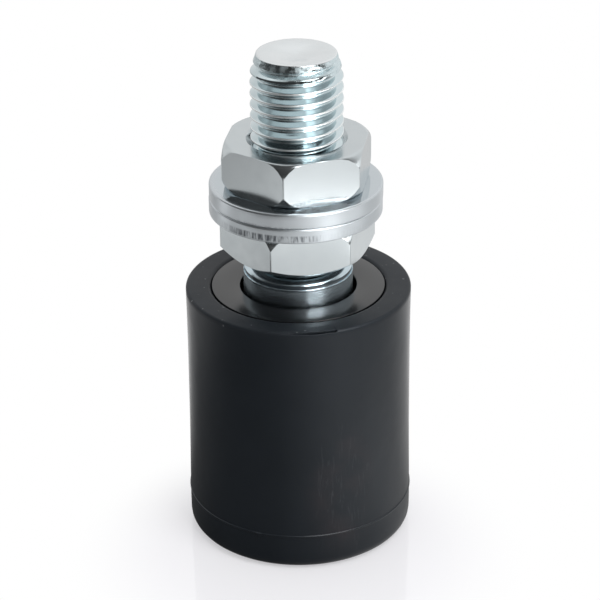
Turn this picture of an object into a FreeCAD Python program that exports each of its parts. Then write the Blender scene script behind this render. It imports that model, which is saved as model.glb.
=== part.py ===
import FreeCAD
import Part
import math
import os

# Guide roller for a sliding gate. A nylon roller turns on two sealed ball bearings round a steel
# spindle, and the spindle's threaded stud is clamped to a bracket between two nuts and washers.
# Z is the spindle's axis, the roller stands on its closed end at z = 0, and lengths are millimetres.

# Roller shell, moulded nylon
roller_diameter = 40.0
roller_height = 47.0
closed_end_thickness = 4.0
foot_radius = 2.2            # rounded edge of the closed end
rim_outer_chamfer = 0.4
rim_inner_chamfer = 0.8
ledge_inset = 1.0            # ledge under the lower bearing, inwards of the outer ring's bore

# Sealed ball bearings, 10 x 30 x 9
bearing_bore = 10.0
bearing_outside = 30.0
bearing_width = 9.0
bearing_corner = 0.4
ball_diameter = 4.762
ball_count = 8
race_depth = 0.63            # how far the balls sit into each ring
race_gap = 0.05              # running clearance between balls and races
cage_ring_gap = 0.4          # radial clearance between the cage and both rings
cage_side_gap = 0.2          # clearance between the cage and the seals
cage_pocket_gap = 0.15       # clearance between a ball and its pocket
seal_thickness = 0.8
seal_recess = 0.3            # seal face below the ring faces
seal_seat_depth = 0.4        # radial bite of the seal into the outer ring
seal_lip_gap = 0.1

# Top cover, pressed into the roller over the upper bearing
cover_thickness = 3.0
cover_skirt_height = 2.5
cover_skirt_wall = 2.0
cover_step = 0.25            # cover seat beyond the bearing seat
cover_edge_chamfer = 0.3
cover_gap = 0.65             # radial clearance round the collar

# Spindle, turned steel, with a rolled M16 x 2 thread on its stud
collar_step = 4.6            # collar's radius beyond the journal
collar_rise = 3.5            # collar above the roller's rim
collar_boss_height = 1.0     # boss under the collar, against the upper inner ring
collar_bevel_width = 0.6
collar_bevel_height = 1.0
shoulder_height = 0.4        # shallow cone from the bevel in to the stud
stud_diameter = 16.0
stud_rise = 43.0             # stud end above the roller's rim
thread_pitch = 2.0
thread_depth_ratio = 0.6134  # depth of a metric thread over its pitch
thread_root_ratio = 0.1667   # flat at the root over the pitch
thread_flank_angle = 30.0
thread_overcut = 0.15        # how far the cutting section stands out of the stud
thread_run_out = 1.42        # first groove above the shoulder
thread_start_angle = 90.0    # the groove starts at the back
stud_chamfer_height = 2.8
stud_end_inset = 0.05        # end face inwards of the thread's root
stud_lip_width = 0.25        # flat lip round the dished end
dish_depth = 0.8
foot_gap = 1.3               # free space under the spindle's foot
foot_land = 1.1              # journal below the circlip groove
foot_chamfer = 0.5

# Circlip at the foot of the journal
circlip_thickness = 1.0
circlip_side_gap = 0.1       # play in the groove
circlip_groove_depth = 0.25
circlip_back_width = 1.8     # radial width opposite the gap
circlip_tip_width = 1.2      # radial width beside the gap
circlip_gap_angle = 54.0
circlip_lug_radius = 1.5
circlip_hole_diameter = 1.5

# Spacer sleeve between the inner rings
sleeve_gap = 0.1             # radial clearance on the journal
ring_inset = 0.5             # sleeve and boss inwards of the inner rings' shoulders

# Thin hexagon nuts
nut_across_flats = 24.0
nut_height = 8.0
nut_face_inset = 0.5         # from the flats in to the circle that the chamfer leaves
nut_chamfer_angle = 39.0
nut_thread_gap = 0.05        # radial clearance on the stud
nut_countersink_depth = 0.7
lower_nut_stand_off = 1.5    # lower nut above the collar's shoulder
lower_nut_turn = -20.5       # degrees from a corner at the front
upper_nut_turn = -11.0

# Punched flat washers
washer_outside = 30.0
washer_thickness = 2.65
washer_gap = 0.5             # radial clearance on the stud
washer_edge = 0.35           # edge that the punch rolled over

# Radii that several pieces share
roller_radius = roller_diameter / 2
seat_radius = bearing_outside / 2
cover_radius = seat_radius + cover_step
journal_radius = bearing_bore / 2
groove_radius = journal_radius - circlip_groove_depth
ball_radius = ball_diameter / 2
pitch_radius = (journal_radius + seat_radius) / 2
shoulder_radius = pitch_radius - ball_radius + race_depth
land_radius = pitch_radius + ball_radius - race_depth
ring_face_radius = shoulder_radius - ring_inset
collar_radius = journal_radius + collar_step
stud_radius = stud_diameter / 2
root_radius = stud_radius - thread_depth_ratio * thread_pitch

# Heights that follow from the sizes above
foot_z = closed_end_thickness + foot_gap
groove_z = foot_z + foot_land
circlip_z = groove_z + circlip_side_gap
lower_bearing_z = circlip_z + circlip_thickness
upper_bearing_top = roller_height - cover_thickness - cover_skirt_height
upper_bearing_z = upper_bearing_top - bearing_width
collar_top = roller_height + collar_rise
shoulder_top = collar_top + collar_bevel_height + shoulder_height
stud_end = roller_height + stud_rise
lower_nut_z = shoulder_top + lower_nut_stand_off
lower_washer_z = lower_nut_z + nut_height
upper_washer_z = lower_washer_z + washer_thickness
upper_nut_z = upper_washer_z + washer_thickness

z_axis = FreeCAD.Vector(0, 0, 1)


def point(radius, height):
    return FreeCAD.Vector(radius, 0, height)


def lines(points):
    return [Part.makeLine(a, b) for a, b in zip(points, points[1:])]


def turned(edges):
    # solid of revolution about Z, from a closed run of edges in the XZ plane
    return Part.Face(Part.Wire(edges)).revolve(FreeCAD.Vector(0, 0, 0), z_axis, 360)


def turned_polygon(corners):
    # solid of revolution about Z, from the (radius, height) corners of its section
    points = [point(radius, height) for radius, height in corners]
    return turned(lines(points + points[:1]))


def tube(inner, outer, bottom, top):
    return turned_polygon([(inner, bottom), (outer, bottom), (outer, top), (inner, top)])


def make_roller_shell():
    # cup with a rounded foot, seats for the cover and the bearings bored from the open end, and a
    # relief under the lower bearing
    relief_radius = land_radius - ledge_inset
    foot_centre = roller_radius - foot_radius
    diagonal = foot_radius * math.sqrt(0.5)
    foot_arc = Part.Arc(
        point(foot_centre, 0),
        point(foot_centre + diagonal, foot_radius - diagonal),
        point(roller_radius, foot_radius),
    )
    outline = lines([
        point(roller_radius, foot_radius),
        point(roller_radius, roller_height - rim_outer_chamfer),
        point(roller_radius - rim_outer_chamfer, roller_height),
        point(cover_radius + rim_inner_chamfer, roller_height),
        point(cover_radius, roller_height - rim_inner_chamfer),
        point(cover_radius, upper_bearing_top),
        point(seat_radius, upper_bearing_top),
        point(seat_radius, lower_bearing_z),
        point(relief_radius, lower_bearing_z),
        point(relief_radius, closed_end_thickness),
        point(0, closed_end_thickness),
        point(0, 0),
        point(foot_centre, 0),
    ])
    return turned([foot_arc.toShape()] + outline)


def make_top_cover():
    # disc with a clearance hole, a chamfered edge and a skirt that holds the upper outer ring down
    hole_radius = collar_radius + cover_gap
    skirt_radius = seat_radius - cover_skirt_wall
    return turned_polygon([
        (hole_radius, roller_height - cover_thickness),
        (skirt_radius, roller_height - cover_thickness),
        (skirt_radius, upper_bearing_top),
        (cover_radius, upper_bearing_top),
        (cover_radius, roller_height - cover_edge_chamfer),
        (cover_radius - cover_edge_chamfer, roller_height),
        (hole_radius, roller_height),
    ])


def make_thread_turn():
    # one turn of the thread's groove, starting at z = 0, which is cut again at each pitch
    tip_half = thread_root_ratio * thread_pitch / 2
    reach = stud_radius + thread_overcut - root_radius
    mouth_half = tip_half + reach * math.tan(math.radians(thread_flank_angle))
    section = Part.makePolygon([
        point(root_radius, -tip_half),
        point(root_radius + reach, -mouth_half),
        point(root_radius + reach, mouth_half),
        point(root_radius, tip_half),
        point(root_radius, -tip_half),
    ])
    helix = Part.makeHelix(thread_pitch, thread_pitch, (root_radius + stud_radius) / 2)
    groove = Part.Wire(helix.Edges).makePipeShell([section], True, True)
    groove.rotate(FreeCAD.Vector(0, 0, 0), z_axis, thread_start_angle)
    return groove


def make_spindle():
    # journal with a circlip groove, boss, bevelled collar, and a threaded stud with a dished end
    end_radius = root_radius - stud_end_inset
    dish_radius = end_radius - stud_lip_width
    outline = lines([
        point(0, stud_end - dish_depth),
        point(0, foot_z),
        point(journal_radius - foot_chamfer, foot_z),
        point(journal_radius, foot_z + foot_chamfer),
        point(journal_radius, groove_z),
        point(groove_radius, groove_z),
        point(groove_radius, lower_bearing_z),
        point(journal_radius, lower_bearing_z),
        point(journal_radius, upper_bearing_top),
        point(ring_face_radius, upper_bearing_top),
        point(ring_face_radius, upper_bearing_top + collar_boss_height),
        point(collar_radius, upper_bearing_top + collar_boss_height),
        point(collar_radius, collar_top),
        point(collar_radius - collar_bevel_width, collar_top + collar_bevel_height),
        point(stud_radius, shoulder_top),
        point(stud_radius, stud_end - stud_chamfer_height),
        point(end_radius, stud_end),
        point(dish_radius, stud_end),
    ])
    sphere_radius = (dish_radius ** 2 + dish_depth ** 2) / (2 * dish_depth)
    half_angle = math.asin(dish_radius / sphere_radius) / 2
    dish_rise = sphere_radius * (1 - math.cos(half_angle))
    dish_arc = Part.Arc(
        point(dish_radius, stud_end),
        point(sphere_radius * math.sin(half_angle), stud_end - dish_depth + dish_rise),
        point(0, stud_end - dish_depth),
    )
    spindle = turned(outline + [dish_arc.toShape()])
    groove = make_thread_turn()
    height = shoulder_top + thread_run_out
    while height < stud_end + thread_pitch:
        spindle = spindle.cut(groove.translated(z_axis * height))
        height += thread_pitch
    return spindle


def make_spacer_sleeve():
    # bears on the faces of both inner rings and clears their seals
    bottom = lower_bearing_z + bearing_width
    return tube(journal_radius + sleeve_gap, ring_face_radius, bottom, upper_bearing_z)


def make_circlip():
    # open ring that narrows from its back to two drilled lugs, sprung into the journal's groove
    outer = groove_radius + (circlip_back_width + circlip_tip_width) / 2
    shift = (circlip_back_width - circlip_tip_width) / 2
    centre = FreeCAD.Vector(0, 0, circlip_z)
    sides = []
    for angle in (-90 - circlip_gap_angle / 2, -90 + circlip_gap_angle / 2):
        turn = math.radians(angle)
        sides.append(FreeCAD.Vector(math.cos(turn), math.sin(turn), 0))
    far_corners = [centre + side * outer * 2 for side in sides]
    gap = Part.Face(Part.makePolygon([centre] + far_corners + [centre]))
    ring = Part.makeCylinder(outer, circlip_thickness, centre + FreeCAD.Vector(0, shift, 0))
    ring = ring.cut(gap.extrude(z_axis * circlip_thickness))
    for side in sides:
        place = centre + side * (groove_radius + circlip_lug_radius)
        ring = ring.fuse(Part.makeCylinder(circlip_lug_radius, circlip_thickness, place))
        ring = ring.cut(Part.makeCylinder(circlip_hole_diameter / 2, circlip_thickness, place))
    ring = ring.cut(Part.makeCylinder(groove_radius, circlip_thickness, centre))
    return ring.removeSplitter()


def race(bottom):
    # ring-shaped space that the balls run in, with their running clearance
    middle = FreeCAD.Vector(0, 0, bottom + bearing_width / 2)
    return Part.makeTorus(pitch_radius, ball_radius + race_gap, middle)


def make_inner_ring(bottom):
    # pressed on the journal, with its corners broken to clear the collar's root
    top = bottom + bearing_width
    ring = turned_polygon([
        (journal_radius + bearing_corner, bottom),
        (shoulder_radius, bottom),
        (shoulder_radius, top),
        (journal_radius + bearing_corner, top),
        (journal_radius, top - bearing_corner),
        (journal_radius, bottom + bearing_corner),
    ])
    return ring.cut(race(bottom))


def make_outer_ring(bottom):
    # pressed into the roller, with a step at each face that holds a seal
    top = bottom + bearing_width
    step_radius = land_radius + seal_seat_depth
    step_depth = seal_recess + seal_thickness
    ring = turned_polygon([
        (step_radius, bottom),
        (seat_radius - bearing_corner, bottom),
        (seat_radius, bottom + bearing_corner),
        (seat_radius, top - bearing_corner),
        (seat_radius - bearing_corner, top),
        (step_radius, top),
        (step_radius, top - step_depth),
        (land_radius, top - step_depth),
        (land_radius, bottom + step_depth),
        (step_radius, bottom + step_depth),
    ])
    return ring.cut(race(bottom))


def ball_directions():
    turns = [2 * math.pi * number / ball_count for number in range(ball_count)]
    return [FreeCAD.Vector(math.cos(turn), math.sin(turn), 0) for turn in turns]


def make_balls(bottom):
    middle = FreeCAD.Vector(0, 0, bottom + bearing_width / 2)
    balls = [Part.makeSphere(ball_radius, middle + way * pitch_radius) for way in ball_directions()]
    return Part.Compound(balls)


def make_cage(bottom):
    # ring with a round window for each ball
    margin = seal_recess + seal_thickness + cage_side_gap
    inner = shoulder_radius + cage_ring_gap
    outer = land_radius - cage_ring_gap
    cage = tube(inner, outer, bottom + margin, bottom + bearing_width - margin)
    middle = FreeCAD.Vector(0, 0, bottom + bearing_width / 2)
    for way in ball_directions():
        cage = cage.cut(Part.makeCylinder(ball_radius + cage_pocket_gap, seat_radius, middle, way))
    return cage


def make_seal(bottom):
    inner = shoulder_radius + seal_lip_gap
    outer = land_radius + seal_seat_depth
    return tube(inner, outer, bottom, bottom + seal_thickness)


def make_nut(bottom, turn):
    # hexagon prism cut by a cone at each face, with a countersunk bore
    top = bottom + nut_height
    corner_radius = nut_across_flats / math.sqrt(3)
    corners = []
    for number in range(7):
        angle = math.radians(turn - 90 + 60 * number)
        way = FreeCAD.Vector(math.cos(angle), math.sin(angle), 0)
        corners.append(way * corner_radius + z_axis * bottom)
    prism = Part.Face(Part.makePolygon(corners)).extrude(z_axis * nut_height)
    face_radius = nut_across_flats / 2 - nut_face_inset
    drop = (corner_radius - face_radius) * math.tan(math.radians(nut_chamfer_angle))
    bore_radius = stud_radius + nut_thread_gap
    blank = turned_polygon([
        (bore_radius + nut_countersink_depth, bottom),
        (face_radius, bottom),
        (corner_radius, bottom + drop),
        (corner_radius, top - drop),
        (face_radius, top),
        (bore_radius + nut_countersink_depth, top),
        (bore_radius, top - nut_countersink_depth),
        (bore_radius, bottom + nut_countersink_depth),
    ])
    return prism.common(blank)


def make_washer(bottom):
    # flat ring, with the upper outside edge rolled over by the punch
    top = bottom + washer_thickness
    outer = washer_outside / 2
    inner = stud_radius + washer_gap
    return turned_polygon([
        (inner, bottom),
        (outer, bottom),
        (outer, top - washer_edge),
        (outer - washer_edge, top),
        (inner, top),
    ])


pieces = {
    "roller_shell": make_roller_shell(),
    "top_cover": make_top_cover(),
    "spindle": make_spindle(),
    "spacer_sleeve": make_spacer_sleeve(),
    "circlip": make_circlip(),
    "lower_nut": make_nut(lower_nut_z, lower_nut_turn),
    "lower_washer": make_washer(lower_washer_z),
    "upper_washer": make_washer(upper_washer_z),
    "upper_nut": make_nut(upper_nut_z, upper_nut_turn),
}
for place, bottom in {"upper": upper_bearing_z, "lower": lower_bearing_z}.items():
    bearing = place + "_bearing_"
    top_seal_z = bottom + bearing_width - seal_recess - seal_thickness
    pieces[bearing + "inner_ring"] = make_inner_ring(bottom)
    pieces[bearing + "outer_ring"] = make_outer_ring(bottom)
    pieces[bearing + "balls"] = make_balls(bottom)
    pieces[bearing + "cage"] = make_cage(bottom)
    pieces[bearing + "top_seal"] = make_seal(top_seal_z)
    pieces[bearing + "bottom_seal"] = make_seal(bottom + seal_recess)

os.makedirs("parts", exist_ok=True)
for name, shape in pieces.items():
    shape.exportStep("parts/" + name + ".step")
    print(name, "solids", len(shape.Solids), "valid", shape.isValid(), "volume", round(shape.Volume, 2))
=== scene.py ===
import bmesh
import bpy
import math
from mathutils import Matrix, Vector, noise


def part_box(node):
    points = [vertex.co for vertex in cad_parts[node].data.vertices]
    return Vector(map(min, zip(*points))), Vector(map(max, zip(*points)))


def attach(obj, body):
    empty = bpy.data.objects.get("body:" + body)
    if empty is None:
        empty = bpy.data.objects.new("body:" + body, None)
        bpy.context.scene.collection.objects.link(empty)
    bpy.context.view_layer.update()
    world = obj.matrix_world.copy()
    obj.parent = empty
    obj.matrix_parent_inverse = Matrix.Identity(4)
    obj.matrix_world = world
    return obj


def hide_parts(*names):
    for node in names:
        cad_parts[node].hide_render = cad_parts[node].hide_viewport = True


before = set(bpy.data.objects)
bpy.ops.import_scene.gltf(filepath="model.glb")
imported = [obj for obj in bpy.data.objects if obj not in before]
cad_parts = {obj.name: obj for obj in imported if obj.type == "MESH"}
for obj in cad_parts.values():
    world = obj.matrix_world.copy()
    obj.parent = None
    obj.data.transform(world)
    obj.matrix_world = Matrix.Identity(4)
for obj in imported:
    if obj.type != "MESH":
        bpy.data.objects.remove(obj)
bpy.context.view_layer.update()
mm = 0.001  # pieces are written in millimetres
front = -math.pi / 2  # the camera's side, as an angle round Z
scene = bpy.context.scene


def linear(hexColour):
    # sRGB hex to the linear colour that Blender's sockets take
    channels = [int(hexColour[i:i + 2], 16) / 255 for i in (1, 3, 5)]
    return [c / 12.92 if c <= 0.04045 else ((c + 0.055) / 1.055) ** 2.4 for c in channels] + [1.0]


def feed(node, inputs):
    # each input gets a value, or another node's output to link
    for name, value in inputs.items():
        if isinstance(value, bpy.types.NodeSocket):
            node.id_data.links.new(value, node.inputs[name])
        else:
            node.inputs[name].default_value = value


def addNode(tree, kind, inputs=None, **settings):
    # one node with its settings and links
    node = tree.nodes.new(kind)
    for key, value in settings.items():
        setattr(node, key, value)
    feed(node, inputs or {})
    return node


def startMaterial(name):
    material = bpy.data.materials.new(name)
    material.use_nodes = True
    tree = material.node_tree
    shader = tree.nodes["Principled BSDF"]
    coords = addNode(tree, "ShaderNodeTexCoord").outputs["Object"]
    return material, tree, shader, coords


def perMetre(size):
    return 1000 / size  # noise scale for a grain of so many millimetres


def fromAxis(tree, coords):
    # how far a point is from the spindle's axis
    flat = addNode(tree, "ShaderNodeVectorMath", {0: coords, 1: (1, 1, 0)}, operation="MULTIPLY").outputs[0]
    return addNode(tree, "ShaderNodeVectorMath", {0: flat}, operation="LENGTH").outputs["Value"]


def arc(radius, height, fillet, start, end, steps):
    # points on a fillet about (radius, height), between two angles in degrees
    turns = [math.radians(start + (end - start) * k / steps) for k in range(steps + 1)]
    return [(radius + fillet * math.cos(turn), height + fillet * math.sin(turn)) for turn in turns]


def rounded(corners, arcSteps=4):
    # corners are (radius, height, fillet); each fillet becomes an arc of short edges
    points = []
    for i, (radius, height, fillet) in enumerate(corners):
        here = Vector((radius, height))
        if fillet == 0:
            points.append(here)
            continue
        before = (Vector(corners[i - 1][:2]) - here).normalized()
        after = (Vector(corners[(i + 1) % len(corners)][:2]) - here).normalized()
        half = before.angle(after) / 2
        centre = here + (before + after).normalized() * fillet / math.sin(half)
        start = here + before * fillet / math.tan(half) - centre
        end = here + after * fillet / math.tan(half) - centre
        for k in range(arcSteps + 1):
            points.append(centre + start.lerp(end, k / arcSteps).normalized() * fillet)
    return [(p.x, p.y) for p in points]


def sweep(mesh, angles, sectionAt, closed=False, slot=0):
    # skins the sections that stand round Z, one at each angle
    rings = []
    for angle in angles:
        across, away = math.cos(angle) * mm, math.sin(angle) * mm
        rings.append([mesh.verts.new((r * across, r * away, z * mm)) for r, z in sectionAt(angle)])
    count = len(rings[0])
    for ring, following in zip(rings, rings[1:] + rings[:1]):
        for k in range(count if closed else count - 1):
            n = (k + 1) % count
            mesh.faces.new((ring[k], following[k], following[n], ring[n])).material_index = slot


def makePiece(name, mesh, materials, body, node, sharp=32):
    bmesh.ops.remove_doubles(mesh, verts=mesh.verts, dist=2e-7)
    bmesh.ops.dissolve_degenerate(mesh, edges=mesh.edges, dist=1e-8)
    bmesh.ops.recalc_face_normals(mesh, faces=mesh.faces)
    for face in mesh.faces:
        face.smooth = True
    for edge in mesh.edges:
        edge.smooth = len(edge.link_faces) == 2 and edge.calc_face_angle() < math.radians(sharp)
    data = bpy.data.meshes.new(name)
    mesh.to_mesh(data)
    mesh.free()
    for material in materials:
        data.materials.append(material)
    piece = bpy.data.objects.new(name, data)
    scene.collection.objects.link(piece)
    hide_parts(node)
    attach(piece, body)
    print(name, len(data.polygons), "faces")


def evenAngles(count):
    return [math.tau * i / count for i in range(count)]


def degreesFromFront(angle):
    return math.degrees((angle - front + math.pi) % math.tau - math.pi)


def smoothStep(low, high, value):
    t = min(max((value - low) / (high - low), 0), 1)
    return t * t * (3 - 2 * t)


# Black polyamide, injection moulded and rubbed in handling: bluish satin black, a soft sheen towards
# the edges, fine grain, a patch of faint brown scuffs at the lower right, and a few specks of dust
nylon = dict(
    colour="#0c1116", cloud="#12181e", scuff="#3b3c3f", smudge="#2c2223", dust="#5a5c5e", sheen="#e2e9f2",
    cloudSize=9, scuffWidth=0.6, scuffLength=5, dustSize=0.7,
    grain=0.3, grainDepth=0.02,  # real grain is finer, drawn as coarse as the render shows
    waveSize=10, waveDepth=0.22,  # shrinkage leaves the skin a little wavy
    rubbedAt=(7.5, -18.5, 15), rubbedCore=2.5, rubbedReach=8, rubbedSquash=0.45,  # the patch is a tall oval
    rimStart=45.9, rimFull=46.4,  # heights where the finish of the rim begins
    smoothest=0.36, roughest=0.46, rimDuller=0.12, coat=0.26, rimCoat=0.1,  # the skin shines less on the rim
)
blackNylon, tree, shader, coords = startMaterial("moulded black polyamide")
height = addNode(tree, "ShaderNodeSeparateXYZ", {"Vector": coords}).outputs["Z"]
cloud = addNode(tree, "ShaderNodeTexNoise", {
    "Vector": coords, "Scale": perMetre(nylon["cloudSize"]), "Detail": 3.0}).outputs["Fac"]
across, tall = perMetre(nylon["scuffWidth"]), perMetre(nylon["scuffLength"])
stretched = addNode(tree, "ShaderNodeMapping", {"Vector": coords, "Scale": (across, across, tall)}).outputs[0]
scuffs = addNode(tree, "ShaderNodeTexNoise", {
    "Vector": stretched, "Scale": 1.0, "Detail": 2.0, "Distortion": 1.3}).outputs["Fac"]
rubbed = addNode(tree, "ShaderNodeMapRange", {
    "Value": scuffs, "From Min": 0.57, "From Max": 0.75, "To Max": 0.4}).outputs[0]
offset = addNode(tree, "ShaderNodeVectorMath", {
    0: coords, 1: [value * mm for value in nylon["rubbedAt"]]}, operation="SUBTRACT").outputs[0]
oval = addNode(tree, "ShaderNodeVectorMath", {
    0: offset, 1: (1, 1, nylon["rubbedSquash"])}, operation="MULTIPLY").outputs[0]
away = addNode(tree, "ShaderNodeVectorMath", {0: oval}, operation="LENGTH").outputs["Value"]
patch = addNode(tree, "ShaderNodeMapRange", {
    "Value": away, "From Min": nylon["rubbedReach"] * mm, "From Max": nylon["rubbedCore"] * mm},
    interpolation_type="SMOOTHSTEP").outputs[0]
scuffed = addNode(tree, "ShaderNodeMath", {0: rubbed, 1: patch}, operation="MULTIPLY").outputs[0]
blots = addNode(tree, "ShaderNodeMapRange", {
    "Value": cloud, "From Min": 0.45, "From Max": 0.65, "To Max": 0.45}).outputs[0]
smudged = addNode(tree, "ShaderNodeMath", {0: blots, 1: patch}, operation="MULTIPLY").outputs[0]
specks = addNode(tree, "ShaderNodeTexNoise", {
    "Vector": coords, "Scale": perMetre(nylon["dustSize"]), "Detail": 0.0}).outputs["Fac"]
onRim = addNode(tree, "ShaderNodeMapRange", {
    "Value": height, "From Min": nylon["rimStart"] * mm, "From Max": nylon["rimFull"] * mm}).outputs[0]
settled = addNode(tree, "ShaderNodeMapRange", {"Value": specks, "From Min": 0.8, "From Max": 0.84}).outputs[0]
# dust lies on the rim only
dusty = addNode(tree, "ShaderNodeMath", {0: settled, 1: onRim}, operation="MULTIPLY").outputs[0]
tone = addNode(tree, "ShaderNodeMix", {
    0: cloud, 6: linear(nylon["colour"]), 7: linear(nylon["cloud"])}, data_type="RGBA").outputs[2]
for amount, colour in ((smudged, "smudge"), (scuffed, "scuff"), (dusty, "dust")):
    tone = addNode(tree, "ShaderNodeMix", {
        0: amount, 6: tone, 7: linear(nylon[colour])}, data_type="RGBA").outputs[2]
gloss = addNode(tree, "ShaderNodeMapRange", {
    "Value": cloud, "To Min": nylon["smoothest"], "To Max": nylon["roughest"]}).outputs[0]
duller = addNode(tree, "ShaderNodeMath", {
    0: onRim, 1: nylon["rimDuller"], 2: gloss}, operation="MULTIPLY_ADD").outputs[0]
skin = addNode(tree, "ShaderNodeMapRange", {
    "Value": onRim, "To Min": nylon["coat"], "To Max": nylon["rimCoat"]}).outputs[0]
waves = addNode(tree, "ShaderNodeTexNoise", {
    "Vector": coords, "Scale": perMetre(nylon["waveSize"]), "Detail": 2.0}).outputs["Fac"]
grain = addNode(tree, "ShaderNodeTexNoise", {
    "Vector": coords, "Scale": perMetre(nylon["grain"]), "Detail": 2.0}).outputs["Fac"]
wavy = addNode(tree, "ShaderNodeBump", {
    "Height": waves, "Strength": 1.0, "Distance": nylon["waveDepth"] * mm}).outputs[0]
bump = addNode(tree, "ShaderNodeBump", {
    "Height": grain, "Strength": 0.08, "Distance": nylon["grainDepth"] * mm, "Normal": wavy}).outputs[0]
feed(shader, {
    "Base Color": tone, "Roughness": duller, "Normal": bump, "IOR": 1.42,
    "Specular Tint": linear(nylon["sheen"]), "Coat Weight": skin, "Coat Roughness": 0.15, "Coat IOR": 1.4})

# The cover is the same polyamide from a polished mould: an even, smooth and glossier black
cover = dict(
    colour="#101214", tint="#16181a", grain=0.25, grainDepth=0.02, cloudSize=6, smoothest=0.14, roughest=0.19)
coverNylon, tree, shader, coords = startMaterial("polished black polyamide")
grain = addNode(tree, "ShaderNodeTexNoise", {
    "Vector": coords, "Scale": perMetre(cover["grain"]), "Detail": 2.0}).outputs["Fac"]
cloud = addNode(tree, "ShaderNodeTexNoise", {
    "Vector": coords, "Scale": perMetre(cover["cloudSize"]), "Detail": 2.0}).outputs["Fac"]
shade = addNode(tree, "ShaderNodeMix", {
    0: grain, 6: linear(cover["colour"]), 7: linear(cover["tint"])}, data_type="RGBA").outputs[2]
gloss = addNode(tree, "ShaderNodeMapRange", {
    "Value": cloud, "To Min": cover["smoothest"], "To Max": cover["roughest"]}).outputs[0]
bump = addNode(tree, "ShaderNodeBump", {
    "Height": grain, "Strength": 0.04, "Distance": cover["grainDepth"] * mm}).outputs[0]
feed(shader, {"Base Color": shade, "Roughness": gloss, "Normal": bump, "IOR": 1.6})


# Zinc-plated steel with a clear blue passivation: a bright, slightly blue grey mirror that is dulled
# in small patches; cold-formed nuts are rougher than the rolled thread and the sheet of the washers
def zincPlate(name, plate):
    material, tree, shader, coords = startMaterial(name)
    patches = addNode(tree, "ShaderNodeTexNoise", {
        "Vector": coords, "Scale": perMetre(plate["patch"]), "Detail": 4.0}).outputs["Fac"]
    grain = addNode(tree, "ShaderNodeTexNoise", {
        "Vector": coords, "Scale": perMetre(plate["grain"]), "Detail": 3.0}).outputs["Fac"]
    tone = addNode(tree, "ShaderNodeMix", {
        0: patches, 6: linear(plate["colour"]), 7: linear(plate["dull"])}, data_type="RGBA").outputs[2]
    gloss = addNode(tree, "ShaderNodeMapRange", {
        "Value": patches, "From Min": 0.3, "From Max": 0.7,
        "To Min": plate["smoothest"], "To Max": plate["roughest"]}).outputs[0]
    bump = addNode(tree, "ShaderNodeBump", {
        "Height": grain, "Strength": 0.3, "Distance": plate["grainDepth"] * mm}).outputs[0]
    feed(shader, {"Base Color": tone, "Roughness": gloss, "Normal": bump, "Metallic": 1.0})
    return material, tree, shader, coords, dict(tone=tone, gloss=gloss, bump=bump)


# Cold-formed nuts show soft, blurred images, and the sheared end of the stud is a pale satin
nutPlate = dict(
    colour="#ced4d6", dull="#c6cdd0", smoothest=0.16, roughest=0.22, patch=3.0, grain=0.3, grainDepth=0.0015)
endPlate = dict(
    colour="#eaedee", dull="#e0e5e7", smoothest=0.2, roughest=0.26, patch=2.5, grain=0.3, grainDepth=0.001)
nutZinc = zincPlate("zinc plate on cold-formed steel", nutPlate)[0]
endZinc = zincPlate("zinc plate on the sheared end", endPlate)[0]

# The rolled thread is the brightest: its crests are satin and drawn pale, a painted highlight along
# them, and the dies left the cone at its end dull in patches
threadPlate = dict(
    colour="#d3dfe2", dull="#c9d7db", smoothest=0.06, roughest=0.1, patch=1.5, grain=0.3, grainDepth=0.001,
    # the pale crest colour is a painted highlight; the crest roughness is the real satin
    crest="#eef2f3", crestRoughness=0.4, crestStart=7.86, crestFull=7.94,  # radii
    coneStart=87.2, coneFull=88.0, coneSmoothest=0.12, coneRoughest=0.5, dentSize=1.1,
)
threadZinc, tree, shader, coords, plain = zincPlate("zinc plate on a rolled thread", threadPlate)
height = addNode(tree, "ShaderNodeSeparateXYZ", {"Vector": coords}).outputs["Z"]
crest = addNode(tree, "ShaderNodeMapRange", {
    "Value": fromAxis(tree, coords),
    "From Min": threadPlate["crestStart"] * mm, "From Max": threadPlate["crestFull"] * mm}).outputs[0]
# painted highlight: the crests are mixed towards the pale crest colour
rubbed = addNode(tree, "ShaderNodeMix", {
    0: crest, 6: plain["tone"], 7: linear(threadPlate["crest"])}, data_type="RGBA").outputs[2]
satin = addNode(tree, "ShaderNodeMix", {
    0: crest, 2: plain["gloss"], 3: threadPlate["crestRoughness"]}, data_type="FLOAT").outputs[0]
onCone = addNode(tree, "ShaderNodeMapRange", {
    "Value": height,
    "From Min": threadPlate["coneStart"] * mm, "From Max": threadPlate["coneFull"] * mm}).outputs[0]
dents = addNode(tree, "ShaderNodeTexNoise", {
    "Vector": coords, "Scale": perMetre(threadPlate["dentSize"]), "Detail": 2.0}).outputs["Fac"]
dull = addNode(tree, "ShaderNodeMapRange", {
    "Value": dents, "From Min": 0.35, "From Max": 0.65,
    "To Min": threadPlate["coneSmoothest"], "To Max": threadPlate["coneRoughest"]}).outputs[0]
finish = addNode(tree, "ShaderNodeMix", {0: onCone, 2: satin, 3: dull}, data_type="FLOAT").outputs[0]
feed(shader, {"Base Color": rubbed, "Roughness": finish})

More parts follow.
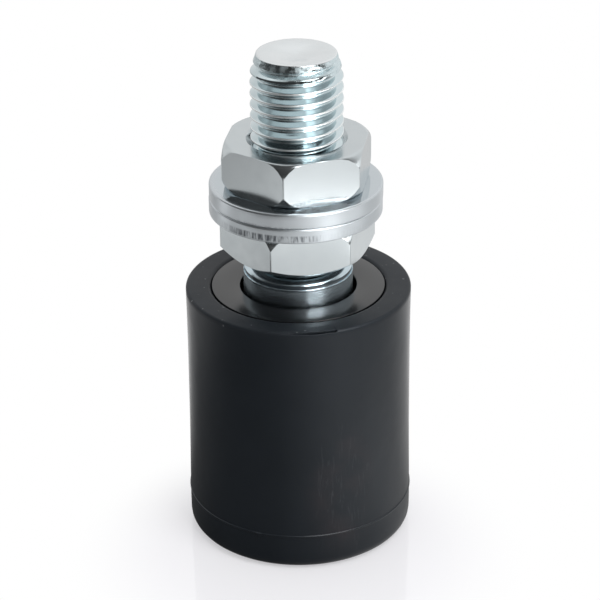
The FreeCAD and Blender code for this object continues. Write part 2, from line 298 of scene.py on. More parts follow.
# The collar is turned before plating: the tool's fine grooves blur it up and down but not round it, and
# its foot is speckled with dark pits
collarPlate = dict(
    colour="#cddbe2", dull="#c3d2da", smoothest=0.12, roughest=0.17, patch=1.2, grain=0.4, grainDepth=0.002,
    pit="#656e74", pitSize=0.24, pitStart=48.0, pitFull=47.2, pitAmount=0.8,
    grooveStart=49.95, grooveFull=49.6, grooveRoughness=0.19,
)
turnedZinc, tree, shader, coords, plain = zincPlate("zinc plate on turned steel", collarPlate)
height = addNode(tree, "ShaderNodeSeparateXYZ", {"Vector": coords}).outputs["Z"]
foot = addNode(tree, "ShaderNodeMapRange", {
    "Value": height, "From Min": collarPlate["pitStart"] * mm, "From Max": collarPlate["pitFull"] * mm,
    "To Max": collarPlate["pitAmount"]}).outputs[0]
specks = addNode(tree, "ShaderNodeTexNoise", {
    "Vector": coords, "Scale": perMetre(collarPlate["pitSize"]), "Detail": 2.0}).outputs["Fac"]
pits = addNode(tree, "ShaderNodeMapRange", {"Value": specks, "From Min": 0.5, "From Max": 0.62}).outputs[0]
pitted = addNode(tree, "ShaderNodeMath", {0: pits, 1: foot}, operation="MULTIPLY").outputs[0]
dark = addNode(tree, "ShaderNodeMix", {
    0: pitted, 6: plain["tone"], 7: linear(collarPlate["pit"])}, data_type="RGBA").outputs[2]
grooved = addNode(tree, "ShaderNodeMapRange", {
    "Value": height,
    "From Min": collarPlate["grooveStart"] * mm, "From Max": collarPlate["grooveFull"] * mm}).outputs[0]
turned = addNode(tree, "ShaderNodeMix", {
    0: grooved, 2: plain["gloss"], 3: collarPlate["grooveRoughness"]}, data_type="FLOAT").outputs[0]
roundAxis = addNode(tree, "ShaderNodeTangent", direction_type="RADIAL", axis="Z").outputs[0]
feed(shader, {
    "Base Color": dark, "Roughness": turned, "Anisotropic": grooved, "Anisotropic Rotation": 0.25,
    "Tangent": roundAxis})

# Washers are punched from sheet: smooth mirror-like faces, a satin cut edge, and tears low on that
# edge, worst at the front left; the tears are real, and their dark colour is painted shade in their pits
washerPlate = dict(
    colour="#ccd3d7", dull="#c3cbd0", smoothest=0.06, roughest=0.1, patch=2.5, grain=0.3, grainDepth=0.002,
    edge="#cbd1d5", edgeRadius=15, edgeStart=14.3, edgeFull=14.7, edgeSmoothest=0.26, edgeRoughest=0.38,
    # the dark tear colour is painted shade in the torn pits
    tearShade="#565a60", tearSpacing=0.4, tearLength=3, tearDepth=0.05,
    tornAt=(-5, -14, 62), tornCore=5, tornReach=10, tornElsewhere=0.05,
)


def washerZinc(name, tornLow, tornHigh, tornAmount):
    material, tree, shader, coords, plain = zincPlate(name, washerPlate)
    place = addNode(tree, "ShaderNodeSeparateXYZ", {"Vector": coords}).outputs
    rim = addNode(tree, "ShaderNodeMapRange", {
        "Value": fromAxis(tree, coords),
        "From Min": washerPlate["edgeStart"] * mm, "From Max": washerPlate["edgeFull"] * mm}).outputs[0]
    turn = addNode(tree, "ShaderNodeMath", {0: place["Y"], 1: place["X"]}, operation="ARCTAN2").outputs[0]
    roundEdge = addNode(tree, "ShaderNodeMath", {
        0: turn, 1: washerPlate["edgeRadius"] / washerPlate["tearSpacing"]}, operation="MULTIPLY").outputs[0]
    upward = addNode(tree, "ShaderNodeMath", {
        0: place["Z"], 1: perMetre(washerPlate["tearLength"])}, operation="MULTIPLY").outputs[0]
    edge = addNode(tree, "ShaderNodeCombineXYZ", {"X": roundEdge, "Y": upward}).outputs[0]
    tears = addNode(tree, "ShaderNodeTexNoise", {"Vector": edge, "Scale": 1.0, "Detail": 4.0}).outputs["Fac"]
    torn = addNode(tree, "ShaderNodeMapRange", {"Value": tears, "From Min": 0.4, "From Max": 0.58}).outputs[0]
    # the band of tears has soft edges
    over = addNode(tree, "ShaderNodeMapRange", {
        "Value": place["Z"], "From Min": (tornLow - 0.1) * mm, "From Max": (tornLow + 0.25) * mm},
        interpolation_type="SMOOTHSTEP").outputs[0]
    under = addNode(tree, "ShaderNodeMapRange", {
        "Value": place["Z"], "From Min": (tornHigh + 0.2) * mm, "From Max": (tornHigh - 0.2) * mm},
        interpolation_type="SMOOTHSTEP").outputs[0]
    fromTear = addNode(tree, "ShaderNodeVectorMath", {
        0: coords, 1: [value * mm for value in washerPlate["tornAt"]]}, operation="DISTANCE").outputs["Value"]
    nearTear = addNode(tree, "ShaderNodeMapRange", {
        "Value": fromTear,
        "From Min": washerPlate["tornReach"] * mm, "From Max": washerPlate["tornCore"] * mm,
        "To Min": washerPlate["tornElsewhere"], "To Max": tornAmount}).outputs[0]
    for limit in (over, under, rim, nearTear):
        torn = addNode(tree, "ShaderNodeMath", {0: torn, 1: limit}, operation="MULTIPLY").outputs[0]
    pale = addNode(tree, "ShaderNodeMix", {
        0: rim, 6: plain["tone"], 7: linear(washerPlate["edge"])}, data_type="RGBA").outputs[2]
    # painted shade: the tears take the dark tear colour
    dark = addNode(tree, "ShaderNodeMix", {
        0: torn, 6: pale, 7: linear(washerPlate["tearShade"])}, data_type="RGBA").outputs[2]
    satin = addNode(tree, "ShaderNodeMapRange", {
        "Value": tears,
        "To Min": washerPlate["edgeSmoothest"], "To Max": washerPlate["edgeRoughest"]}).outputs[0]
    finish = addNode(tree, "ShaderNodeMix", {
        0: rim, 2: plain["gloss"], 3: satin}, data_type="FLOAT").outputs[0]
    bump = addNode(tree, "ShaderNodeBump", {
        "Height": torn, "Strength": 0.6, "Distance": -washerPlate["tearDepth"] * mm,
        "Normal": plain["bump"]}).outputs[0]
    feed(shader, {"Base Color": dark, "Roughness": finish, "Normal": bump})
    return material


# Pieces inside the roller keep their solids and take a plain finish for what they are made of
def innerFinish(name, colour, other, metallic, smoothest, roughest, grainSize):
    material, tree, shader, coords = startMaterial(name)
    grain = addNode(tree, "ShaderNodeTexNoise", {
        "Vector": coords, "Scale": perMetre(grainSize), "Detail": 3.0}).outputs["Fac"]
    tone = addNode(tree, "ShaderNodeMix", {
        0: grain, 6: linear(colour), 7: linear(other)}, data_type="RGBA").outputs[2]
    gloss = addNode(tree, "ShaderNodeMapRange", {
        "Value": grain, "To Min": smoothest, "To Max": roughest}).outputs[0]
    feed(shader, {"Base Color": tone, "Roughness": gloss, "Metallic": metallic})
    return material


bearingSteel = innerFinish(  # bright and mirror-like
    "ground bearing steel", colour="#c4c4c2", other="#b5b5b3",
    metallic=1.0, smoothest=0.12, roughest=0.22, grainSize=0.6)
sleeveSteel = innerFinish(  # grey with fine tool marks
    "turned plain steel", colour="#a8a8a6", other="#989896",
    metallic=1.0, smoothest=0.25, roughest=0.4, grainSize=0.5)
springSteel = innerFinish(  # dark and dull
    "phosphated spring steel", colour="#3a3a3c", other="#2c2c2e",
    metallic=1.0, smoothest=0.45, roughest=0.6, grainSize=0.4)
sealRubber = innerFinish(  # matt black
    "moulded nitrile rubber", colour="#1c1c1c", other="#242424",
    metallic=0.0, smoothest=0.55, roughest=0.7, grainSize=0.5)
cagePolyamide = innerFinish(  # pale cream
    "moulded natural polyamide", colour="#d8d0b8", other="#cdc4aa",
    metallic=0.0, smoothest=0.4, roughest=0.5, grainSize=0.8)
innerMaterials = {
    "inner_ring": bearingSteel, "outer_ring": bearingSteel, "balls": bearingSteel, "cage": cagePolyamide,
    "seal": sealRubber, "spacer_sleeve": sleeveSteel, "circlip": springSteel,
}
for name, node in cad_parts.items():
    for ending, material in innerMaterials.items():
        if name.endswith(ending):
            node.data.materials.clear()
            node.data.materials.append(material)
print("materials are made")

# Roller shell: moulded cup with a parting line above the foot, a slight waist from shrinkage, and a
# sliver torn from the front of its rim
shell = dict(
    around=180, footFlat=12, rimFlat=18, rim=19.83, mouth=15.27,
    footFillet=2.2, rimFillet=0.5, mouthFillet=0.9,
    wall=[  # height and radius, from the foot's fillet upwards
        (2.2, 20.04), (4.6, 20.06), (6.5, 20.04), (6.68, 20.05), (6.8, 20.16), (6.94, 20.16), (7.06, 20.03),
        (7.4, 20.02), (9.5, 20.0), (14, 19.92), (20, 19.84), (28, 19.8), (36, 19.77), (42, 19.79),
        (45.8, 19.83)],
    inside=[(15.27, 41.5), (15, 41.5), (15, 7.5), (10.75, 7.5), (10.75, 4), (0, 4)],  # radius and height
    nickStart=-16, nickFull=13, nickEnd=19, nickBreak=0.4,  # degrees to the right of the front
    nickDepth=0.55, nickInward=0.5, nickLean=58, nickWidth=19,  # the tear leaves a lip outside it
    partingLow=6.6, partingHigh=7.1,
    nubTurn=-21.9, nubWidth=1.5, nubHeight=0.2,  # the stub of a trimmed gate on the parting line
    nickRows=(-0.7, -0.4, -0.2, 0, 0.2, 0.4, 0.7),  # finer rows at the end of the nick and at the nub
    nubRows=(-2.7, -1.7, -0.9, 0.05, 0.9, 1.7, 2.7),
)
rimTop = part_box("roller_shell")[1].z / mm


def shellSection(angle):
    turn = degreesFromFront(angle)
    nick = shell["nickDepth"] * smoothStep(shell["nickStart"], shell["nickFull"], turn)
    nick *= 1 - smoothStep(shell["nickEnd"] - shell["nickBreak"], shell["nickEnd"] + shell["nickBreak"], turn)
    nub = shell["nubHeight"] * math.exp(-((turn - shell["nubTurn"]) / shell["nubWidth"]) ** 2)
    foot, rim, mouth = shell["footFillet"], shell["rimFillet"], shell["mouthFillet"]
    points = [(0, 0), (shell["footFlat"], 0)] + arc(shell["wall"][0][1] - foot, foot, foot, -90, 0, 6)
    for z, r in shell["wall"][1:]:
        points.append((r + nub if shell["partingLow"] < z < shell["partingHigh"] else r, z))
    rimSteps = 12
    for k, (r, z) in enumerate(arc(shell["rim"] - rim, rimTop - rim, rim, 0, 90, rimSteps)):
        groove = nick * math.exp(-((90 * k / rimSteps - shell["nickLean"]) / shell["nickWidth"]) ** 2)
        points.append((r - groove * shell["nickInward"], z - groove))
    points += [(shell["rimFlat"], rimTop)] + arc(shell["mouth"] + mouth, rimTop - mouth, mouth, 90, 180, 6)
    return points + shell["inside"]


finer = [shell["nickEnd"] + step for step in shell["nickRows"]]
finer += [shell["nubTurn"] + step for step in shell["nubRows"]]
shellAngles = evenAngles(shell["around"]) + [front + math.radians(turn) + math.tau for turn in finer]
mesh = bmesh.new()
sweep(mesh, sorted(shellAngles), shellSection)
makePiece("rollerShell", mesh, [blackNylon], "roller", "roller_shell", sharp=40)

# Top cover: flat disc that sits just inside the mouth, with soft edges and a skirt below
disc = dict(
    around=160, outer=15.22, hole=10.25, sink=0.12, edge=0.08, holeEdge=0.25,
    thickness=3, skirt=13, skirtDepth=5.5)
coverTop = rimTop - disc["sink"]
coverSection = rounded([
    (disc["hole"], rimTop - disc["thickness"], 0), (disc["skirt"], rimTop - disc["thickness"], 0),
    (disc["skirt"], rimTop - disc["skirtDepth"], 0), (disc["outer"], rimTop - disc["skirtDepth"], 0),
    (disc["outer"], coverTop, disc["edge"]), (disc["hole"], coverTop, disc["holeEdge"])])
mesh = bmesh.new()
sweep(mesh, evenAngles(disc["around"]), lambda angle: coverSection, closed=True)
makePiece("topCover", mesh, [coverNylon], "roller", "top_cover")

# M16 x 2 thread: (share of the pitch, depth) from a crest to the root, rounded as a rolled thread is
thread = dict(pitch=2.0, crest=8.0, zero=-0.18, form=[
    (0, 0), (0.03, 0.004), (0.055, 0.022), (0.08, 0.075), (0.098, 0.127), (0.108, 0.158), (0.17, 0.372),
    (0.24, 0.615), (0.31, 0.857), (0.372, 1.072), (0.384, 1.11), (0.41, 1.178), (0.45, 1.218), (0.5, 1.227)])
# and the same way back up to the next crest
thread["form"] += [(1 - share, depth) for share, depth in reversed(thread["form"][1:-1])]


def sweepThread(mesh, angles, bottom, top, radiusAt, slot=0):
    # rows follow the helix, so that crests and roots stay crisp; rows past an end gather on its ring
    pitch, form = thread["pitch"], thread["form"]
    firstTurn = math.floor((bottom - thread["zero"]) / pitch) - 2
    lastTurn = math.ceil((top - thread["zero"]) / pitch) + 1
    rows = [(turn + share, depth) for turn in range(firstTurn, lastTurn) for share, depth in form]
    rings = []
    for angle in angles:
        ring = []
        for turns, depth in rows:
            z = min(max(thread["zero"] + (turns + angle / math.tau) * pitch, bottom), top)
            r = radiusAt(z, depth, angle)
            ring.append(mesh.verts.new((r * math.cos(angle) * mm, r * math.sin(angle) * mm, z * mm)))
        rings.append(ring)
    lastRow = len(rows) - 1
    for i, ring in enumerate(rings):
        shift = len(form) if i == len(rings) - 1 else 0
        following = rings[(i + 1) % len(rings)]
        for k in range(lastRow):
            low, high = min(k + shift, lastRow), min(k + 1 + shift, lastRow)
            corners = [ring[k], following[low], following[high], ring[k + 1]]
            if low == high:
                corners.pop(2)
            mesh.faces.new(corners).material_index = slot


# Spindle: turned journal and collar, rolled thread that runs out above the shoulder, dished end
stud = dict(
    around=180, threadStart=52.4, runOut=1.0, threadEnd=89.85, end=90.0, chamfer=3.6, endRadius=6.84,
    thinner=0.08,  # the stud is a little thinner where it has no thread
    fade=0.8, fadeSpan=(1.2, 0.2),  # the thread gets shallow; a span starts and ends so far below the end
    worn=0.14, wornSpan=(6, 2),  # crests aren't full there
    hammered=0.04, hammeredSpan=(3.5, 2.2), smoothTop=0.3,  # the dies hammered the cone
    footChamfer=0.5,
    journal=[(5, 6.4), (4.75, 6.4), (4.75, 7.5), (5, 7.5), (5, 41.5), (7.75, 41.5), (7.75, 42.5)],
    collar=9.6, collarLow=42.5, collarEdge=0.2, ledge=49.9,
    burrRise=0.08, burrRagged=0.1, burrFine=0.08, burrWidth=0.08, burrLean=0.03,
    neck=[(9.5, 49.92), (9.46, 49.95), (9.44, 50.0), (9.44, 50.06), (9.46, 50.7), (9.46, 50.76), (9.4, 50.84),
          (9.3, 50.96), (9.16, 51.11), (8.98, 51.28), (8.76, 51.46), (8.5, 51.63), (8.25, 51.77),
          (8.08, 51.9), (7.98, 52.08), (7.92, 52.4)],
    endRim=[(6.8, 89.94), (6.68, 89.99), (6.5, 90)],
    bowl=0.4, uneven=0.03, bowlRadius=6.4,
    bowlRows=(6.2, 5.6, 5.0, 4.4, 3.8, 3.2, 2.6, 2.0, 1.4, 0.8, 0.3, 0),
)
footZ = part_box("spindle")[0].z / mm


def spotAt(angle, radius, height):
    # a place to look up noise: it comes out finer on a wider circle
    return Vector((math.cos(angle) * radius, math.sin(angle) * radius, height))


def nearEnd(span, z):
    # from 0 to 1 as a height climbs through a span below the end of the stud
    return smoothStep(stud["end"] - span[0], stud["end"] - span[1], z)


def studRadius(z, depth, angle):
    threadEnd = stud["threadEnd"]
    into = smoothStep(stud["threadStart"], stud["threadStart"] + stud["runOut"], z)
    into *= 1 - stud["fade"] * nearEnd(stud["fadeSpan"], z)
    cone = stud["endRadius"] + (stud["end"] - z) * (thread["crest"] - stud["endRadius"]) / stud["chamfer"]
    onCone = nearEnd(stud["hammeredSpan"], z) * (1 - smoothStep(threadEnd - stud["smoothTop"], threadEnd, z))
    cone += stud["hammered"] * noise.noise(spotAt(angle, 8, z * 1.8)) * onCone
    worn = stud["worn"] * nearEnd(stud["wornSpan"], z)
    return min(thread["crest"] - worn - stud["thinner"] * (1 - into) - depth * into, cone)


def burrSection(angle):
    # the tool left a ragged ledge where the collar meets the cone
    collar, ledge = stud["collar"], stud["ledge"]
    ragged, fine = noise.noise(spotAt(angle, 9, 3.1)), noise.noise(spotAt(angle, 24, 7.7))
    top = ledge + stud["burrRise"] + stud["burrRagged"] * ragged + stud["burrFine"] * fine
    inner = collar - stud["burrWidth"] + stud["burrLean"] * fine
    outer = collar - stud["burrLean"]
    return [(collar, ledge), (collar, (ledge + top) / 2), (outer, top), (inner, top), stud["neck"][0]]


def endSection(angle):
    # the sheared end: soft rim and a shallow bowl, a little uneven
    points = [(studRadius(stud["threadEnd"], 0, angle), stud["threadEnd"])] + stud["endRim"]
    for r in stud["bowlRows"]:
        sink = stud["bowl"] * (1 + math.cos(math.pi * r / stud["bowlRadius"]))
        points.append((r, stud["end"] - sink + stud["uneven"] * noise.noise(spotAt(angle, r * 0.5, 1.7))))
    return points


footRadius, footChamfer = stud["journal"][0][0], stud["footChamfer"]
collarPart = rounded(
    [(0, footZ, 0), (footRadius - footChamfer, footZ, 0), (footRadius, footZ + footChamfer, 0)]
    + [(r, z, 0) for r, z in stud["journal"]]
    + [(stud["collar"], stud["collarLow"], stud["collarEdge"]), (stud["collar"], stud["ledge"], 0)])
studAngles = evenAngles(stud["around"])
mesh = bmesh.new()
sweep(mesh, studAngles, lambda angle: collarPart)
sweep(mesh, studAngles, burrSection)
sweep(mesh, studAngles, lambda angle: stud["neck"])
sweepThread(mesh, studAngles, stud["threadStart"], stud["threadEnd"], studRadius, slot=1)
sweep(mesh, studAngles, endSection, slot=2)
makePiece("spindle.body", mesh, [turnedZinc, threadZinc, endZinc], "spindle", "spindle")

# Thin nuts: hexagons with rounded corners, forged corner cuts or a turned cone on each face, and a
# countersunk threaded bore
nut = dict(
    flats=23.84, cornerRound=0.3, faceRadius=12.2, coneRadius=11.0, coneSlope=0.7, edge=0.06,
    hold=0.1,  # rows held close to an edge keep the faces flat
    countersink=0.75, sinkSlope=0.8, play=0.07, boreDepth=1.05,
)


def hexRadius(angle, turn):
    # distance from the axis to the side of the nut, with its corners rounded off
    half = nut["flats"] / 2
    lean = (angle - front - turn) % (math.pi / 3) - math.pi / 6
    inner = half - nut["cornerRound"]
    if abs(lean) <= math.atan(inner * math.tan(math.pi / 6) / half):
        return half / math.cos(lean)
    centre = inner / math.cos(math.pi / 6)
    off = math.pi / 6 - abs(lean)
    return centre * math.cos(off) + math.sqrt(max(nut["cornerRound"] ** 2 - (centre * math.sin(off)) ** 2, 0))


def makeNut(name, node, turn, sideways, bite, turnedBelow):
    turn = math.radians(turn)
    bottom, top = (corner.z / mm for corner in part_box(node))
    hold = nut["hold"]
    mouthRadius = thread["crest"] + nut["countersink"]

    def section(angle):
        side = hexRadius(angle, turn)
        forged, turned = [], []  # height lost towards the side, on forged corners and on a turned cone
        start = min(nut["faceRadius"], side - nut["edge"])
        for share in (-hold, 0, 0.2, 0.4, 0.6, 0.8, 0.93, 1):
            r = start + (side - start) * max(share, 0) + min(share, 0)
            forged.append((r, nut["edge"] * max(share, 0) + bite * max(r - nut["faceRadius"], 0) ** 2))
            r = nut["coneRadius"] + (side - nut["coneRadius"]) * max(share, 0) + min(share, 0)
            turned.append((r, nut["coneSlope"] * max(r - nut["coneRadius"], 0)))
        upper, lower = forged, turned if turnedBelow else forged
        points = [(mouthRadius, top), (mouthRadius + hold, top)] + [(r, top - lost) for r, lost in upper]
        points += [(side, top - upper[-1][1] - hold), (side, bottom + lower[-1][1] + hold)]
        points += [(r, bottom + lost) for r, lost in reversed(lower)]
        return points + [(mouthRadius + hold, bottom), (mouthRadius, bottom)]

    def boreRadius(z, depth, angle):
        sink = mouthRadius - min(z - bottom, top - z) * nut["sinkSlope"]
        return max(thread["crest"] + nut["play"] - min(depth, nut["boreDepth"]), sink)

    # angles gather where the rounding of a corner starts
    bend = math.degrees(math.atan((1 - 2 * nut["cornerRound"] / nut["flats"]) * math.tan(math.pi / 6)))
    leans = [0, 8, 16, 22, 26, bend - 0.5, bend, bend + 0.3 * (30 - bend), bend + 0.65 * (30 - bend), 30]
    leans += [-lean for lean in leans]
    corners = [front + turn + math.radians(60 * k + 30 + lean) for k in range(6) for lean in leans]
    angles = sorted({round(angle % math.tau, 6) for angle in corners})
    mesh = bmesh.new()
    sweep(mesh, angles, section)
    sweepThread(mesh, angles, bottom, top, boreRadius)
    bmesh.ops.translate(mesh, verts=mesh.verts, vec=(sideways * mm, 0, 0))
    makePiece(name, mesh, [nutZinc], node, node, sharp=34)


makeNut("lowerNut", "lower_nut", turn=-19.8, sideways=0, bite=1.0, turnedBelow=True)
makeNut("upperNut", "upper_nut", turn=-9.7, sideways=-0.06, bite=0.98, turnedBelow=False)

# Washers: upper edge rolled over by the punch, lower edge of the cut torn at the front left; both sit
# a little to the left of the stud's axis, within the play of their holes
washer = dict(
    around=360, outer=15.06, hole=8.5, roll=0.4, burr=0.15, holeLow=0.1, holeHigh=0.3, edgeRows=(0.7, 1.4),
    tornInner=14, tornHeight=1.3,
    tornFrom=-60, tornFull=-40, tornFade=-12, tornEnd=8,  # degrees to the right of the front
)


def makeWasher(name, node, sideways, tornDepth, material):
    bottom, top = (corner.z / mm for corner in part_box(node))
    points = rounded(
        [(washer["hole"], bottom, washer["holeLow"]), (washer["outer"], bottom, washer["burr"])]
        + [(washer["outer"], bottom + row, 0) for row in washer["edgeRows"]]
        + [(washer["outer"], top, washer["roll"]), (washer["hole"], top, washer["holeHigh"])], 6)

    def section(angle):
        turn = degreesFromFront(angle)
        torn = tornDepth * smoothStep(washer["tornFrom"], washer["tornFull"], turn)
        torn *= 1 - smoothStep(washer["tornFade"], washer["tornEnd"], turn)
        shaped = []
        for r, z in points:
            if r > washer["tornInner"] and z < bottom + washer["tornHeight"]:
                r -= torn * (0.5 + 0.5 * noise.noise(spotAt(angle, 16, z * 0.9)))
            shaped.append((r, z))
        return shaped

    mesh = bmesh.new()
    sweep(mesh, evenAngles(washer["around"]), section, closed=True)
    bmesh.ops.translate(mesh, verts=mesh.verts, vec=(sideways * mm, 0, 0))
    makePiece(name, mesh, [material], node, node)


tornEdge = washerZinc("zinc plate on a torn punched edge", tornLow=61.6, tornHigh=62.75, tornAmount=0.9)
cleanEdge = washerZinc("zinc plate on a clean punched edge", tornLow=64.05, tornHigh=64.3, tornAmount=0.4)
makeWasher("lowerWasher", "lower_washer", sideways=-0.32, tornDepth=0.06, material=tornEdge)
makeWasher("upperWasher", "upper_washer", sideways=-0.25, tornDepth=0.05, material=cleanEdge)

# Studio: white surround, a pale acrylic floor that glows a little, and one soft lamp high at the right
# of the camera. Lists of levels say how bright polished pieces see things round them, as degrees to
# the right of the camera and brightness
peak = 2.0  # brightness of a full ramp


def brightnessRound(tree, place, levels):
    # brightness by compass direction, with the middle of the ramp towards the camera
    toward = addNode(tree, "ShaderNodeMath", {0: place["Y"], 1: -1.0}, operation="MULTIPLY").outputs[0]
    compass = addNode(tree, "ShaderNodeMath", {0: place["X"], 1: toward}, operation="ARCTAN2").outputs[0]
    share = addNode(tree, "ShaderNodeMapRange", {
        "Value": compass, "From Min": -math.pi, "From Max": math.pi}).outputs[0]
    ramp = addNode(tree, "ShaderNodeValToRGB", {"Fac": share})
    stops = ramp.color_ramp.elements
    for angle, level in levels[1:-1]:
        stops.new((angle + 180) / 360)
    for stop, (angle, level) in zip(stops, levels):
        stop.position = (angle + 180) / 360
        stop.color = (level / peak, level / peak, level / peak, 1)
    return ramp.outputs["Color"]


room = dict(
    fill=0.8, overheadFront=0.05, overheadBack=1.0,
    darkEnd=-0.14, brightStart=0.35, wallEnd=0.45, overheadStart=0.8,  # parts of a direction of length 1
    walls=[(-180, 0.85), (-150, 0.75), (-125, 0.85), (-108, 0.5), (-98, 0.15), (-85, 0.06), (-35, 0.03),
           (0, 0.03), (50, 0.04), (80, 0.1), (92, 0.4), (106, 0.8), (125, 0.9), (150, 0.95), (180, 0.85)],
)
world = bpy.data.worlds.new("white studio")
scene.world = world
world.use_nodes = True
tree = world.node_tree
tree.nodes.clear()
direction = addNode(tree, "ShaderNodeTexCoord").outputs["Generated"]
place = addNode(tree, "ShaderNodeSeparateXYZ", {"Vector": direction}).outputs
overhead = addNode(tree, "ShaderNodeMapRange", {
    "Value": place["Y"], "From Min": room["darkEnd"], "From Max": room["brightStart"],
    "To Min": room["overheadFront"] / peak, "To Max": room["overheadBack"] / peak}).outputs[0]
above = addNode(tree, "ShaderNodeMapRange", {
    "Value": place["Z"], "From Min": room["wallEnd"], "From Max": room["overheadStart"]}).outputs[0]
seen = addNode(tree, "ShaderNodeMix", {
    0: above, 6: brightnessRound(tree, place, room["walls"]), 7: overhead}, data_type="RGBA").outputs[2]
mirrored = addNode(tree, "ShaderNodeBackground", {"Color": seen, "Strength": peak}).outputs[0]
fill = addNode(tree, "ShaderNodeBackground", {"Color": (1, 1, 1, 1), "Strength": room["fill"]}).outputs[0]
white = addNode(tree, "ShaderNodeBackground", {"Color": (1, 1, 1, 1), "Strength": 1.0}).outputs[0]
path = addNode(tree, "ShaderNodeLightPath").outputs
shiny = addNode(tree, "ShaderNodeMath", {
    0: path["Is Glossy Ray"], 1: path["Is Transmission Ray"]}, operation="MAXIMUM").outputs[0]
byReflection = addNode(tree, "ShaderNodeMixShader", {"Fac": shiny, 1: fill, 2: mirrored}).outputs[0]
byCamera = addNode(tree, "ShaderNodeMixShader", {
    "Fac": path["Is Camera Ray"], 1: byReflection, 2: white}).outputs[0]
addNode(tree, "ShaderNodeOutputWorld", {"Surface": byCamera})

# Acrylic sheet: glows white with a faint mirror image of the roller, and fades to plain white round it
sheet = dict(
    radius=4, colour="#b4b4b6", glowColour="#fdfcff", glow=0.45, fadeStart=21, fadeEnd=42,
    fadeCentre=(0, -14, 0),  # the mirror image lies to the front
    nearEnd=75, farStart=120, shadeStart=23, shadeEnd=42, shade=0.6,  # the roller shades the floor beside it
    farFloor=[(-180, 0.9), (-150, 0.6), (-138, 0.58), (-120, 0.55), (-107, 0.65), (-96, 0.7), (-88, 0.45),
              (-79, 0.32), (-68, 0.15), (-45, 0.07), (-22, 0.1), (-5, 0.35), (10, 0.75), (24, 0.98),
              (42, 1.0), (56, 0.65), (80, 0.5), (105, 0.6), (125, 0.9), (145, 0.85), (160, 0.62), (180, 0.9)],
    nearFloor=[(-180, 1.8), (-150, 1.7), (-132, 0.6), (-115, 0.18), (-60, 0.1), (-15, 0.2), (10, 0.48),
               (35, 0.9), (70, 0.95), (100, 0.6), (130, 0.75), (150, 1.6), (180, 1.8)],
)
bpy.ops.mesh.primitive_circle_add(vertices=96, radius=sheet["radius"], fill_type="NGON", location=(0, 0, 0))
floor = bpy.context.object
floor.name = "studioFloor"
floorSheet, tree, shader, coords = startMaterial("glossy white acrylic sheet")
feed(shader, {
    "Base Color": linear(sheet["colour"]), "Roughness": 0.05,
    "Emission Color": linear(sheet["glowColour"]), "Emission Strength": sheet["glow"]})
place = addNode(tree, "ShaderNodeSeparateXYZ", {"Vector": coords}).outputs
reach = addNode(tree, "ShaderNodeVectorMath", {0: coords}, operation="LENGTH").outputs["Value"]
beyond = addNode(tree, "ShaderNodeMapRange", {
    "Value": reach, "From Min": sheet["nearEnd"] * mm, "From Max": sheet["farStart"] * mm}).outputs[0]
around = addNode(tree, "ShaderNodeMix", {
    0: beyond, 6: brightnessRound(tree, place, sheet["nearFloor"]),
    7: brightnessRound(tree, place, sheet["farFloor"])}, data_type="RGBA").outputs[2]
close = addNode(tree, "ShaderNodeMapRange", {
    "Value": reach, "From Min": sheet["shadeStart"] * mm, "From Max": sheet["shadeEnd"] * mm,
    "To Min": sheet["shade"] * peak, "To Max": peak}).outputs[0]
inMetal = addNode(tree, "ShaderNodeEmission", {"Color": around, "Strength": close}).outputs[0]
far = addNode(tree, "ShaderNodeEmission", {"Color": (1, 1, 1, 1), "Strength": 1.0}).outputs[0]
fromImage = addNode(tree, "ShaderNodeVectorMath", {
    0: coords, 1: [value * mm for value in sheet["fadeCentre"]]}, operation="DISTANCE").outputs["Value"]
fade = addNode(tree, "ShaderNodeMapRange", {
    "Value": fromImage, "From Min": sheet["fadeStart"] * mm, "From Max": sheet["fadeEnd"] * mm},
    interpolation_type="SMOOTHSTEP").outputs[0]
toWhite = addNode(tree, "ShaderNodeMixShader", {"Fac": fade, 1: shader.outputs[0], 2: far}).outputs[0]
glossy = addNode(tree, "ShaderNodeLightPath").outputs["Is Glossy Ray"]
byReflection = addNode(tree, "ShaderNodeMixShader", {"Fac": glossy, 1: toWhite, 2: inMetal}).outputs[0]
feed(tree.nodes["Material Output"], {"Surface": byReflection})
floor.data.materials.append(floorSheet)


def valueAt(table, place):
    # value at a place in a list of (place, value), straight from one entry to the next
    for (low, first), (high, second) in zip(table, table[1:]):
        if low <= place <= high:
            return first + (second - first) * (place - low) / (high - low)


def makeCard(name, turns, edgesAt, levels, strength):
    # a bent card that only reflections show
    mesh = bmesh.new()
    rows = []
    for turn in turns:
        out = Vector((math.sin(math.radians(turn)), -math.cos(math.radians(turn)), 0))
        rows.append([mesh.verts.new((out * r + Vector((0, 0, z))) * mm) for r, z in edgesAt(turn)])
    for row, following in zip(rows, rows[1:]):
        mesh.faces.new((row[0], row[1], following[1], following[0]))
    data = bpy.data.meshes.new(name)
    mesh.to_mesh(data)
    mesh.free()
    card = bpy.data.objects.new(name, data)
    scene.collection.objects.link(card)
    card.visible_camera = card.visible_diffuse = card.visible_shadow = card.visible_transmission = False
    paper, tree, shader, coords = startMaterial(name + " paper")
    place = addNode(tree, "ShaderNodeSeparateXYZ", {"Vector": coords}).outputs
    lit = addNode(tree, "ShaderNodeEmission", {
        "Color": brightnessRound(tree, place, levels), "Strength": strength}).outputs[0]
    feed(tree.nodes["Material Output"], {"Surface": lit})
    card.data.materials.append(paper)


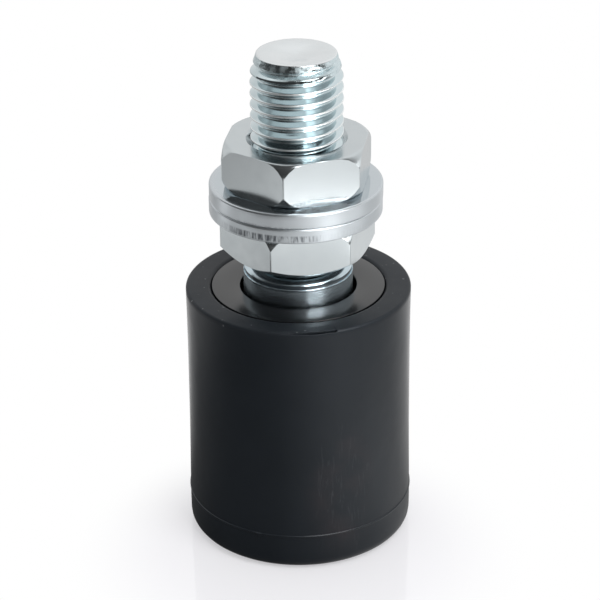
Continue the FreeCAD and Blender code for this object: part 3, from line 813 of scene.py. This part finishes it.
# A flat ring low round the front lights the flanks of the thread and the edges of the washers
ringCard = dict(
    height=40, turns=range(-130, 131, 2),
    inner=[(-130, 62), (-88, 62), (-84, 52), (130, 52)],
    outer=[(-130, 76), (-112, 76), (-108, 108), (-84, 108), (-62, 90), (-45, 77), (45, 77), (62, 90),
           (84, 108), (130, 108)],
    levels=[(-180, 0.35), (-112, 0.35), (-104, 1.0), (-93, 1.0), (-86, 0.5), (-78, 0.5), (-70, 0.74),
            (-45, 0.82), (-10, 0.98), (24, 1.08), (30, 1.95), (48, 1.95), (56, 1.15), (80, 1.08), (96, 0.65),
            (180, 0.65)],
)


def ringEdges(turn):
    return [(valueAt(ringCard[side], turn), ringCard["height"]) for side in ("inner", "outer")]


makeCard("whiteCard", ringCard["turns"], ringEdges, ringCard["levels"], peak)

# An upright strip, brightest at the right, puts the bright bar on the collar and on the cover before it
barCard = dict(
    reach=100, bottom=74, top=94.5, strength=12.0, turns=range(-110, 111, 2),
    levels=[(-180, 0.01), (-40, 0.01), (-24, 0.03), (-12, 0.07), (-2, 0.19), (8, 0.23), (15, 0.4), (22, 2.0),
            (46, 2.0), (57, 0.75), (66, 0.5), (76, 0.32), (90, 0.22), (106, 0.16), (180, 0.14)],
)
barEdges = [(barCard["reach"], barCard["bottom"]), (barCard["reach"], barCard["top"])]
makeCard("stripCard", barCard["turns"], lambda turn: barEdges, barCard["levels"], barCard["strength"])

# The lamp, in degrees and metres
key = dict(turn=38, lift=51, distance=0.6, target=0.05, width=0.32, height=0.32, level=5.4)
lamp = bpy.data.lights.new("softbox", "AREA")
lamp.shape = "RECTANGLE"
lamp.size, lamp.size_y = key["width"], key["height"]
lamp.energy = key["level"] * math.pi * key["width"] * key["height"]
softbox = bpy.data.objects.new("softbox", lamp)
turn, lift = math.radians(key["turn"]), math.radians(key["lift"])
target = Vector((0, 0, key["target"]))
outward = Vector((math.cos(lift) * math.sin(turn), -math.cos(lift) * math.cos(turn), math.sin(lift)))
softbox.location = outward * key["distance"] + target
softbox.rotation_euler = (target - softbox.location).to_track_quat("-Z", "Y").to_euler()
scene.collection.objects.link(softbox)
print("studio is lit")

# Camera at the photo's angle: 26 degrees above the floor, 400 mm from the roller's rim
view = dict(
    lens=135.93, shiftX=0.00265, shiftY=-0.0126, near=0.01,
    distance=0.4, target=0.045, elevation=26.243, roll=-0.49)  # metres and degrees
camera = bpy.data.cameras.new("photoCamera")
camera.lens = view["lens"]
camera.shift_x, camera.shift_y = view["shiftX"], view["shiftY"]
camera.clip_start = view["near"]
cameraObject = bpy.data.objects.new("photoCamera", camera)
lift = math.radians(view["elevation"])
cameraObject.location = (
    0, -view["distance"] * math.cos(lift), view["target"] + view["distance"] * math.sin(lift))
look = Vector((0, 0, view["target"])) - cameraObject.location
cameraObject.rotation_euler = look.to_track_quat("-Z", "Y").to_euler()
cameraObject.rotation_euler.rotate_axis("Z", math.radians(view["roll"]))
scene.collection.objects.link(cameraObject)
scene.camera = cameraObject
scene.view_settings.view_transform = "Standard"
print("camera is placed")
